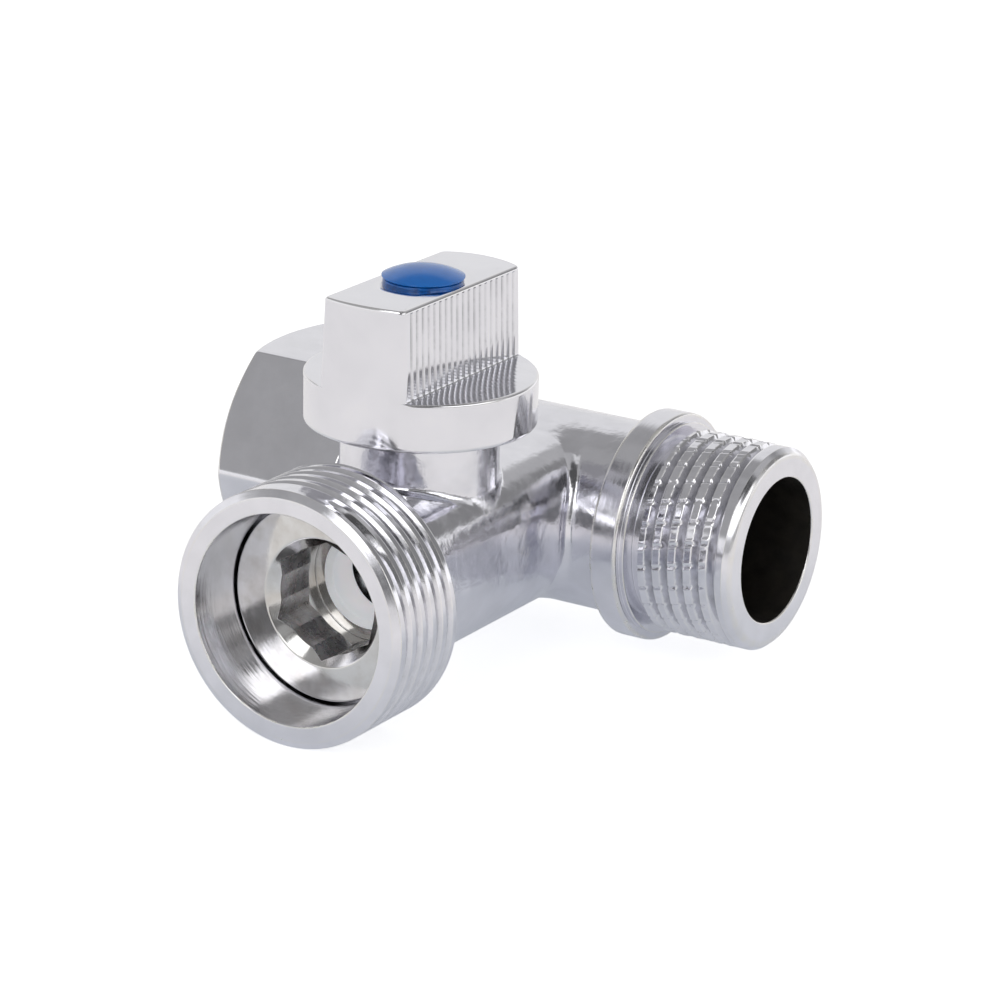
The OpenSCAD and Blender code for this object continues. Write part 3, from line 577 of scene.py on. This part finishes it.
# The hexagon end: its outline changes with the angle, where the turned cones at both ends cut its flats. Its
# lining has the female thread's rows, turned the other way round.
def makeHexEnd():
    h = hexEnd
    angle = turnAngles(180, [k * math.pi / 3 for k in range(7)], spread=0.07, extra=11)
    side = hexagonRadius(angle, h["flats"], h["cornerRound"])
    inner = h["face"] + h["length"]
    drop = (side - h["chamferRadius"]) * h["slope"]
    bore = h["bore"] + h["boreGap"]
    onRun = inner + h["shoulder"] - h["runRadius"]
    corners = [(h["face"] + h["mouthDeep"], h["minor"]), (h["face"], h["mouth"]),
               (h["face"], h["chamferRadius"]), (h["face"] + drop, side), (inner - drop, side),
               (inner, h["chamferRadius"]), (inner, h["shoulder"]), (onRun, h["runRadius"]),
               (onRun, h["underSkin"]), (h["boreTo"], bore), (h["threadTo"] + h["threadOut"], bore),
               (h["threadTo"], h["minor"])]
    shell = roundCorners(outlineOf(corners, len(angle)), h["rounding"], closed=False)
    start, end = -h["threadTo"] + h["liningTo"], -h["face"] - h["liningFrom"]
    along, height = threadRows(h["thread"], -angle, start, end)
    lining = np.stack([-along, h["minor"] + h["thread"]["depth"] - height], -1)
    rows = np.concatenate([shell, lining])
    bands = np.zeros(len(rows), int)
    bands[len(shell) - 1:] = 1
    return makeGrid("hexagonEnd", roundRun(rows, angle), ["turnedChrome", "threadChrome"], bands,
                    edge=edgeShare(rows))


neckTop = {
    "from": 13.8, "top": 16.4, "rise": 1.2, "outer": 8.15, "rimOuter": 7.94, "rimInner": 5.5, "stem": 3.25,
    "stemLead": 0.4, "outerLead": 0.2, "rimStart": 22.0, "rimSpan": 226.0,
    "rounding": [0, 0.1, 0.1, 0, 0.15, 0.15, 0, 0.1, 0]}


# The flat top of the neck with the raised rim that stops the handle, over the rim's part of the turn.
def makeNeckTop():
    n = neckTop
    ends = [math.radians(n["rimStart"]), math.radians(n["rimStart"] + n["rimSpan"])]
    angle = turnAngles(120, ends, spread=0.004, extra=4)
    onRim = ((angle > ends[0]) & (angle < ends[1])) * n["rise"]
    top = n["top"]
    corners = [(n["from"], n["stem"]), (top - n["stemLead"], n["stem"]), (top, n["stem"] + n["stemLead"]),
               (top, n["rimInner"]), (top + onRim, n["rimInner"]), (top + onRim, n["rimOuter"]),
               (top, n["rimOuter"]), (top - n["outerLead"], n["outer"]), (n["from"], n["outer"])]
    rows = roundCorners(outlineOf(corners, len(angle)), n["rounding"])
    return makeGrid("neckTop", roundStem(rows, angle), ["turnedChrome"], edge=edgeShare(rows))


retainer = {
    "front": 40.85, "seat": 38.45, "back": 31.64, "head": 10.25, "shank": 8.2, "mouth": 6.69, "cone": 0.9,
    "flats": 10.8, "bore": 5.55, "turn": 28.2, "socketFrom": 34.74, "socketLead": 0.15, "reliefFrom": 32.64,
    "relief": 6.29, "port": 4.25,
    "rounding": [0.1, 0.12, 0.1, 0.05, 0.05, 0.07, 0.12, 0.25, 0.1, 0.05, 0.3]}


# The retainer: an outline carried round the branch, whose socket wall is the larger of a hexagon and a round
# hole. They meet at angles acos(flats / 2 / bore) from the middle of each flat.
def makeRetainer():
    r = retainer
    edge = math.acos(r["flats"] / 2 / r["bore"])
    turn = math.radians(r["turn"])
    near = [k * math.pi / 3 + math.pi / 6 + s * edge + turn for k in range(6) for s in (-1, 1)]
    near += [k * math.pi / 3 + turn for k in range(7)]
    angle = turnAngles(144, [a % (2 * math.pi) for a in near], spread=0.012, extra=3)
    wall = np.maximum(hexagonRadius(angle, r["flats"], 0.0, turn), r["bore"])
    corners = [(r["back"], r["port"]), (r["reliefFrom"], r["port"]), (r["reliefFrom"], r["relief"]),
               (r["socketFrom"], r["relief"]), (r["socketFrom"] + r["socketLead"], wall),
               (r["front"] - (r["mouth"] - wall) * r["cone"], wall), (r["front"], r["mouth"]),
               (r["front"], r["head"]), (r["seat"], r["head"]), (r["seat"], r["shank"]),
               (r["back"], r["shank"])]
    rows = roundCorners(outlineOf(corners, len(angle)), r["rounding"], steps=4)
    bands = np.zeros(len(rows), int)
    # These walls get the darker nickel: they are broached, and painted darker as shade in the socket.
    wallFrom, wallTo = 26, 33  # the broached walls of the socket, between its fifth and sixth corner
    bands[wallFrom:wallTo] = 1
    return makeGrid("retainerRing", roundBranch(rows, angle), ["ringNickel", "broachedShadedNickel"], bands,
                    edge=edgeShare(rows))


seatLip = {
    "back": 29.3, "front": 32.8, "web": 32.66, "inner": 4.08, "outer": 4.22, "brim": 5.1,
    "rounding": [0.02, 0.12, 0.05, 0.02, 0, 0.02]}


# The lip of the outer seat: a thin sleeve through the retainer's port, with a brim over the port's edge.
def makeSeatLip():
    s = seatLip
    angle = turnAngles(96)
    corners = [(s["back"], s["inner"]), (s["front"], s["inner"]), (s["front"], s["brim"]),
               (s["web"], s["brim"]), (s["web"], s["outer"]), (s["back"], s["outer"])]
    rows = roundCorners(outlineOf(corners, len(angle)), s["rounding"])
    return makeGrid("seatLip", roundBranch(rows, angle), ["seatPlastic"], edge=edgeShare(rows))


handle = {
    "skirt": 11.86, "skirtFrom": 14.7, "ledge": 19.77, "top": 29.1, "topHalf": 4.72, "footHalf": 5.04,
    "endTop": 11.68, "pocket": 3.5, "pocketFloor": 22.75, "screwHole": 1.68, "squareTop": 21.65,
    "square": 2.35, "hub": 5.2, "hubFrom": 16.7, "hollow": 8.5, "hollowTop": 17.9, "lug": 8.14,
    "lugDeg": 21.0, "crown": 0.13, "crownLeft": 0.05, "topEdge": 0.32, "flankEdge": 0.34, "endEdge": 0.24,
    "cornerEdge": 0.5, "skirtEdge": 0.3, "footFillet": 0.25, "mostOfLedge": 0.4, "justPast": 1.25,
    "footRise": 0.4, "skirtDrop": 0.4, "underDrop": 0.5, "brimInset": 1.2, "topFrom": 0.3,
    "mouthRise": 0.05, "mouthWide": 0.2, "flankGap": 0.02, "closeTo": 1e-6,
    "rounding": [0, 0.45, 0.2, 0.2, 0.1, 0.1, 0.1, 0, 0, 0, 0.1, 0.12, 0]}

groove = {
    "count": 19, "pitch": 1.05, "depth": 0.28, "half": 0.27, "lip": 0.07, "floor": 0.06, "power": 1.35,
    "flattest": 0.94, "runOut": 0.2}


# The blade's plan outline for a half thickness and an end radius, as x and y: two flanks with grooves whose
# depth is depth (1 - (distance / half width)^1.35), and two arcs between them. The columns keep their places
# from level to level. Without a depth, it gives how far into a groove each column lies.
def bladeOutline(half, radius, depth):
    pitch, g, e = groove["pitch"], groove["half"], handle["cornerEdge"]
    centres = (np.arange(groove["count"]) - (groove["count"] - 1) / 2) * pitch
    out = np.array([groove["floor"], g * 0.45, g * 0.8, g, g + groove["lip"]])
    steps = np.concatenate([[-0.5 * pitch], -out[::-1], out])
    ribbed = (centres[:, None] + steps[None, :]).ravel()
    share = np.clip(1 - (np.abs(steps) / g) ** groove["power"], 0, groove["flattest"])
    share = np.tile(share, groove["count"])
    edge = math.sqrt(radius ** 2 - half ** 2)
    plainTo = edge - e * handle["justPast"]
    first, final = ribbed[0], centres[-1] + 0.5 * pitch
    plainLow = first + (-plainTo - first) * np.array([1.0, 0.6, 0.25])
    plainHigh = final + (plainTo - final) * np.array([0.0, 0.3, 0.65, 1.0])
    flankY = np.concatenate([plainLow, ribbed, plainHigh])
    inGroove = np.pad(share, (len(plainLow), len(plainHigh)))
    flankX = half - inGroove * (depth or 0)
    corner = np.array([half, edge])
    way = math.atan2(edge, half)
    a = corner + e * np.array([0, -1])
    b = radius * np.array([math.cos(way + e / radius), math.sin(way + e / radius)])
    t = np.linspace(0, 1, 6)[:, None]
    bend = (1 - t) ** 2 * a + 2 * t * (1 - t) * corner + t ** 2 * b
    past = 1.3 * e / radius
    sweep = np.linspace(way + past, math.pi - way - past, 26)
    arc = radius * np.stack([np.cos(sweep), np.sin(sweep)], 1)
    quarter = np.concatenate([np.stack([flankX, flankY], 1), bend, arc, bend[::-1] * [-1, 1]])
    both = np.concatenate([quarter, -quarter])
    if depth is None:
        rest = np.zeros(len(quarter) - len(flankY))
        inGroove = np.concatenate([inGroove, rest, inGroove, rest])
        return np.concatenate([inGroove, inGroove[:1]])
    return np.concatenate([both, both[:1]])


# The handle: at each column of the blade's outline, a closed outline runs over the top, down the flank, along
# the ledge, down the skirt, and back up through the hollow, the hub and the screw's pocket.
def makeHandle():
    h = handle

    # The blade's outline at a height, between its foot and its top, and drawn in by a share of its edges.
    def flank(z, inset, depth=groove["depth"]):
        up, height = z - h["ledge"], h["top"] - h["ledge"]
        half = h["footHalf"] + (h["topHalf"] - h["footHalf"]) * up / height - inset * h["flankEdge"]
        radius = h["skirt"] + (h["endTop"] - h["skirt"]) * up / height - inset * h["endEdge"]
        return bladeOutline(half, radius, depth)

    # A plan outline at one height, or at a height for each column.
    def level(plan, z):
        return np.concatenate([plan, (z + np.zeros(len(plan)))[:, None]], 1)

    # A level whose height rises by crown (1 - (x / half)^2) towards the middle.
    def crowned(plan, z):
        points = level(plan, z)
        points[:, 2] += h["crown"] * np.clip(1 - (plan[:, 0] / h["topHalf"]) ** 2, 0, 1)
        return points

    foot = flank(h["ledge"], 0.0)
    plain = bladeOutline(h["footHalf"], h["skirt"], 0.0)
    x, y = plain[:, 0], plain[:, 1]
    onFlank = np.abs(y) < math.sqrt(h["skirt"] ** 2 - h["footHalf"] ** 2) - h["flankGap"]
    onFlank &= np.abs(x) <= h["footHalf"] + h["closeTo"]
    outX = np.where(onFlank, np.sign(x) * np.sqrt(np.maximum(h["skirt"] ** 2 - y ** 2, 0)), x)
    skirt = np.stack([outX, y], 1)
    skirt *= (h["skirt"] / np.linalg.norm(skirt, axis=1))[:, None]
    way = skirt / h["skirt"]
    ledgeWide = np.linalg.norm(skirt - foot, axis=1)
    fillet = np.minimum(h["footFillet"], ledgeWide * h["mostOfLedge"])
    rim = np.minimum(h["skirtEdge"], ledgeWide * h["mostOfLedge"])
    along = np.stack([np.sign(x) * onFlank, np.zeros(len(plain))], 1)
    top, e = h["top"], h["topEdge"]
    brim = flank(top, h["brimInset"], 0.0)
    inside = way * (h["pocket"] + h["topFrom"])
    rows = [crowned(inside * (1 - t) + brim * t, top) for t in (0, 0.35, 0.7, 1)]
    for t in np.linspace(0, 1, 6):
        slip = math.pi / 2 * t
        z = top - e * (1 - math.cos(slip))
        rows.append(crowned(flank(z, 1 - math.sin(slip), 0.0), z))
    darkFrom = len(rows) + 2  # the grooves look dark from the third row of their run-out
    for t in (0.15, 0.4, 0.65, 0.9, 1.0):  # the grooves run out below the top edge
        z = top - e - groove["runOut"] * t
        plan = flank(z, 0.0, groove["depth"] * t * t * (3 - 2 * t))
        rows.append(level(plan, z + h["crown"] * h["crownLeft"]))
    for z in ((top + h["ledge"]) / 2, h["ledge"] + h["footRise"]):
        rows.append(level(flank(z, 0.0), z))
    darkTo = len(rows) + 2  # down to the second row of the foot's fillet
    for t in np.linspace(0, 1, 5):
        slip = math.pi / 2 * t
        lift = fillet * (1 - math.sin(slip))
        shift = fillet * (1 - math.cos(slip))
        rows.append(level(foot + along * shift[:, None], h["ledge"] + lift))
    rows.append(level(skirt - along * (rim * h["justPast"])[:, None], h["ledge"]))
    for t in np.linspace(0, 1, 5):
        slip = math.pi / 2 * t
        plan = skirt - along * (rim * (1 - math.sin(slip)))[:, None]
        rows.append(level(plan, h["ledge"] - rim * (1 - math.cos(slip))))
    rows.append(level(skirt, h["ledge"] - h["skirtDrop"]))
    lugged = np.degrees(np.abs(np.arctan2(way[:, 1], way[:, 0]))) < h["lugDeg"]
    hub = np.where(lugged, h["lug"], h["hub"])
    square = h["square"] / np.max(np.abs(way), axis=1)
    mouth = top + h["mouthRise"]
    under = [(h["ledge"] - h["underDrop"], h["skirt"]), (h["skirtFrom"], h["skirt"]),
             (h["skirtFrom"], h["hollow"]), (h["hollowTop"], h["hollow"]), (h["hollowTop"], hub),
             (h["hubFrom"], hub), (h["hubFrom"], square), (h["squareTop"], square),
             (h["squareTop"], h["screwHole"]), (h["pocketFloor"], h["screwHole"]),
             (h["pocketFloor"], h["pocket"]), (mouth, h["pocket"]), (mouth, h["pocket"] + h["mouthWide"])]
    under = roundCorners(outlineOf(under, len(way)), h["rounding"], closed=False)
    below = np.concatenate([way[None] * under[..., 1:2], under[..., 0:1]], -1)
    grid = np.concatenate([np.array(rows), below])
    # Painted shade: the grooves are darkened by how far into a groove each column lies, from their run-out
    # down to the foot's fillet; convex edges get the lighter edge colour, which is wear and partly a painted
    # highlight.
    edges = edgeShare(np.stack([grid[..., 2], np.hypot(grid[..., 0], grid[..., 1])], -1))
    hollow = np.zeros(grid.shape[:2])
    hollow[darkFrom:darkTo] = bladeOutline(h["footHalf"], h["skirt"], None)
    grid[..., 1] += stemY
    return makeGrid("handleShell", grid, ["handleChrome"], sharp=44, edge=edges, hollow=hollow)


cap = {
    "seat": 29.1, "plug": 3.45, "plugFrom": 26.7, "plugLead": 0.3, "base": 4.1, "baseTop": 29.42,
    "baseDraft": 0.05, "neck": 3.82, "neckLead": 0.03, "rim": 4.2, "rimFrom": 29.56, "rimTop": 29.7,
    "rimDraft": 0.04, "rimLead": 0.06, "dome": 1.0, "power": 2.15, "domeRows": 26, "paintedShadeTo": 0.01,
    "paintedShadeFrom": 3.5, "paintedShade": 0.8, "shine": 0.5,
    "rounding": [0, 0.1, 0.1, 0, 0.08, 0.1, 0.03, 0.03, 0.06, 0]}


# The cap: a plug, a base disc, a groove and a dome, whose height is dome (1 - (radius / rim)^power). Below
# the rim's lower edge and outside a given radius it gets painted shade, a dark navy; its convex edges get a
# painted highlight, a lighter blue.
def makeCap():
    c = cap
    angle = turnAngles(128)
    corners = [(c["plugFrom"], 0.0), (c["plugFrom"], c["plug"] - c["plugLead"]),
               (c["plugFrom"] + c["plugLead"], c["plug"]), (c["seat"], c["plug"]), (c["seat"], c["base"]),
               (c["baseTop"], c["base"] - c["baseDraft"]), (c["baseTop"] + c["neckLead"], c["neck"]),
               (c["rimFrom"] - c["neckLead"], c["neck"]), (c["rimFrom"], c["rim"] - c["rimDraft"]),
               (c["rimTop"] - c["rimLead"], c["rim"])]
    lower = roundCorners(outlineOf(corners, len(angle)), c["rounding"], closed=False)
    away = np.linspace(1, 0, c["domeRows"])
    domed = zip(c["rimTop"] + c["dome"] * (1 - away ** c["power"]), c["rim"] * away)
    rows = np.concatenate([lower, outlineOf(domed, len(angle))])
    # Painted shade under the rim, and a painted highlight on the edges at half strength.
    hollow = ((rows[..., 0] < c["rimFrom"] + c["paintedShadeTo"]) & (rows[..., 1] > c["paintedShadeFrom"])) * c["paintedShade"]
    return makeGrid("capDome", roundStem(rows, angle), ["capBlue"], closed=False,
                    edge=edgeShare(rows) * c["shine"], hollow=hollow)


bodyPieces = [bodyCast, makeBranchEnd(), makeMaleEnd(), makeHexEnd(), makeNeckTop()]
pieces = [(piece, "valve_body", "body", "body_chrome") for piece in bodyPieces]
pieces += [(makeRetainer(), "valve_body", "retainer", "retainer_nickel"),
           (makeHandle(), "handle_unit", "handle", "handle_chrome"),
           (makeCap(), "handle_unit", "cap", "cap_plastic")]
for piece, body, node, slot in pieces:
    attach(piece, body)
    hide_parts(node)
lip = makeSeatLip()
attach(lip, "valve_body")

# The nodes that keep their own meshes, with their finishes.
kept = {
    "inner_seat": "seatPlastic", "outer_seat": "seatPlastic", "thrust_washer": "seatPlastic",
    "ball": "ballChrome", "retainer_seal": "sealRubber", "lower_stem_oring": "sealRubber",
    "upper_stem_oring": "sealRubber", "stem": "turnedBrass", "handle_screw": "screwSteel"}
for node, look in kept.items():
    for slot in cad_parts[node].material_slots:
        slot.material = finish[look]
print("pieces:", len(pieces), "new,", len(kept), "kept")


studio = {
    "floorZ": -13.3, "floorHalf": 2.0, "floorColour": (0.775, 0.785, 0.80), "nearGlow": (0.94, 1.0, 1.08),
    "farGlow": (1.02, 0.975, 0.93), "middle": (0, -15), "nearTo": 30, "farFrom": 75, "nearMirrored": 0.20,
    "farMirrored": 0.42, "floorSeen": 0.72}


# The floor: a pale plane that keeps the object's shadow and looks white to the camera. Polished metal sees it
# brighter and warmer with the distance from the object's middle, from nearTo to farFrom in mm; the dimmer,
# bluer floor near the object is a painted shadow in those reflections.
def makeFloor():
    s = studio
    side = s["floorHalf"]
    mesh = bpy.data.meshes.new("floor")
    corners = ((-side, -side), (side, -side), (side, side), (-side, side))
    mesh.from_pydata([(x, y, s["floorZ"] * mm) for x, y in corners], [], [(0, 1, 2, 3)])
    floor = bpy.data.objects.new("floor", mesh)
    scene.collection.objects.link(floor)
    material = bpy.data.materials.new("paleFloor")
    material.use_nodes = True
    tree = material.node_tree
    tree.nodes.clear()
    diffuse = addNode(tree, "ShaderNodeBsdfDiffuse", {}, {"Color": (*s["floorColour"], 1)})
    path = addNode(tree, "ShaderNodeLightPath")
    place = addNode(tree, "ShaderNodeVectorMath", {"operation": "DISTANCE"})
    place.inputs[1].default_value = (s["middle"][0] * mm, s["middle"][1] * mm, s["floorZ"] * mm)
    tree.links.new(addNode(tree, "ShaderNodeTexCoord").outputs["Object"], place.inputs[0])
    far = addRange(tree, place.outputs["Value"], s["nearTo"] * mm, s["farFrom"] * mm, 0, 1)
    level = addRange(tree, far, 0, 1, s["nearMirrored"], s["farMirrored"])
    tint = addMix(tree, far, s["nearGlow"], s["farGlow"])
    seen = addNode(tree, "ShaderNodeEmission", {}, {"Color": (1.0, 1.0, 1.0, 1)})
    toCamera = addMath(tree, "MULTIPLY", path.outputs["Is Camera Ray"], s["floorSeen"])
    tree.links.new(toCamera, seen.inputs["Strength"])
    mirrored = addMath(tree, "MULTIPLY", path.outputs["Is Glossy Ray"], level)
    glow = addNode(tree, "ShaderNodeEmission")
    tree.links.new(tint, glow.inputs["Color"])
    tree.links.new(mirrored, glow.inputs["Strength"])
    joined = diffuse
    for more in (glow, seen):
        both = addNode(tree, "ShaderNodeAddShader")
        tree.links.new(joined.outputs[0], both.inputs[0])
        tree.links.new(more.outputs[0], both.inputs[1])
        joined = both
    output = addNode(tree, "ShaderNodeOutputMaterial")
    tree.links.new(joined.outputs[0], output.inputs["Surface"])
    mesh.materials.append(material)


# A room by direction: each patch is (azimuth, elevation, half width, half height, softness, brightness) in
# degrees, and is laid over the ones before it. Azimuth 0 lies towards -Y and 90 towards +X.
room = {"base": 0.82, "patches": [
    (-20, 50, 95, 27, 9, 0.38),
    (145, 50, 38, 25, 9, 0.46),
    (-150, 70, 42, 21, 9, 0.34),
    (145, 20, 14, 13, 5, 0.25),
    (68, 58, 44, 17, 6, 0.09),
    (82, 26, 26, 10, 4, 1.7),
    (-45, 8, 40, 8, 4, 0.95),
    (70, 5, 50, 4, 4, 0.42),
    (152, 5, 32, 3, 3, 1.2),
    (30, 12, 13, 11, 4, 0.18),
    (7, 38, 15, 17, 3, 2.0)]}


# The room as a world: value = value + share (brightness - value) for each patch, and white to the camera.
def makeRoom():
    world = bpy.data.worlds.new("room")
    scene.world = world
    world.use_nodes = True
    tree = world.node_tree
    tree.nodes.clear()
    way = addNode(tree, "ShaderNodeSeparateXYZ")
    tree.links.new(addNode(tree, "ShaderNodeTexCoord").outputs["Generated"], way.inputs[0])
    x, y, z = way.outputs[0], way.outputs[1], way.outputs[2]
    azimuth = addMath(tree, "ARCTAN2", x, addMath(tree, "MULTIPLY", y, -1.0))
    height = addMath(tree, "ARCSINE", z)
    value = None

    # A smooth window: 1 within the half size of the middle, and 0 past the softness, the short way round.
    def window(angle, middle, half, soft):
        turned = addMath(tree, "COSINE", addMath(tree, "SUBTRACT", angle, math.radians(middle)))
        off = addMath(tree, "ARCCOSINE", turned)
        return addRange(tree, off, math.radians(half), math.radians(half + soft), 1, 0, "SMOOTHSTEP")

    for azimuthMid, heightMid, halfWide, halfHigh, soft, bright in room["patches"]:
        share = addMath(tree, "MULTIPLY", window(azimuth, azimuthMid, halfWide, soft),
                        window(height, heightMid, halfHigh, soft))
        if value is None:
            value = addMath(tree, "MULTIPLY_ADD", share, bright - room["base"], room["base"])
            continue
        step = addMath(tree, "MULTIPLY", addMath(tree, "SUBTRACT", bright, value), share)
        value = addMath(tree, "ADD", value, step)
    path = addNode(tree, "ShaderNodeLightPath")
    gap = addMath(tree, "SUBTRACT", 1.0, value)
    value = addMath(tree, "ADD", value, addMath(tree, "MULTIPLY", gap, path.outputs["Is Camera Ray"]))
    sky = addNode(tree, "ShaderNodeBackground", {}, {"Color": (1.0, 1.0, 1.0, 1)})
    tree.links.new(value, sky.inputs["Strength"])
    output = addNode(tree, "ShaderNodeOutputWorld")
    tree.links.new(sky.outputs[0], output.inputs["Surface"])


view = {
    "azimuth": 31.247574, "elevation": 18.672772, "roll": 1.708663, "lens": 150.4133, "sensor": 36.0,
    "clip": (0.01, 20), "place": (215.2219, -362.2694, 141.8818)}


# The camera as fitted to the photograph: it looks against back = (sin a cos e, -cos a cos e, sin e) for
# azimuth a and elevation e, and is rolled about that direction.
def makeCamera():
    a, e, r = (math.radians(view[k]) for k in ("azimuth", "elevation", "roll"))
    back = Vector((math.sin(a) * math.cos(e), -math.cos(a) * math.cos(e), math.sin(e)))
    right = Vector((math.cos(a), math.sin(a), 0))
    up = back.cross(right)
    across, upright = right * math.cos(r) + up * math.sin(r), up * math.cos(r) - right * math.sin(r)
    data = bpy.data.cameras.new("camera")
    data.lens, data.sensor_width = view["lens"], view["sensor"]
    data.clip_start, data.clip_end = view["clip"]
    camera = bpy.data.objects.new("camera", data)
    turn = Matrix((across, upright, back)).transposed().to_4x4()
    camera.matrix_world = Matrix.Translation(Vector(view["place"]) * mm) @ turn
    scene.collection.objects.link(camera)
    scene.camera = camera


makeFloor()
makeRoom()
makeCamera()
scene.view_settings.view_transform = "Standard"
print("studio: floor, room and camera")
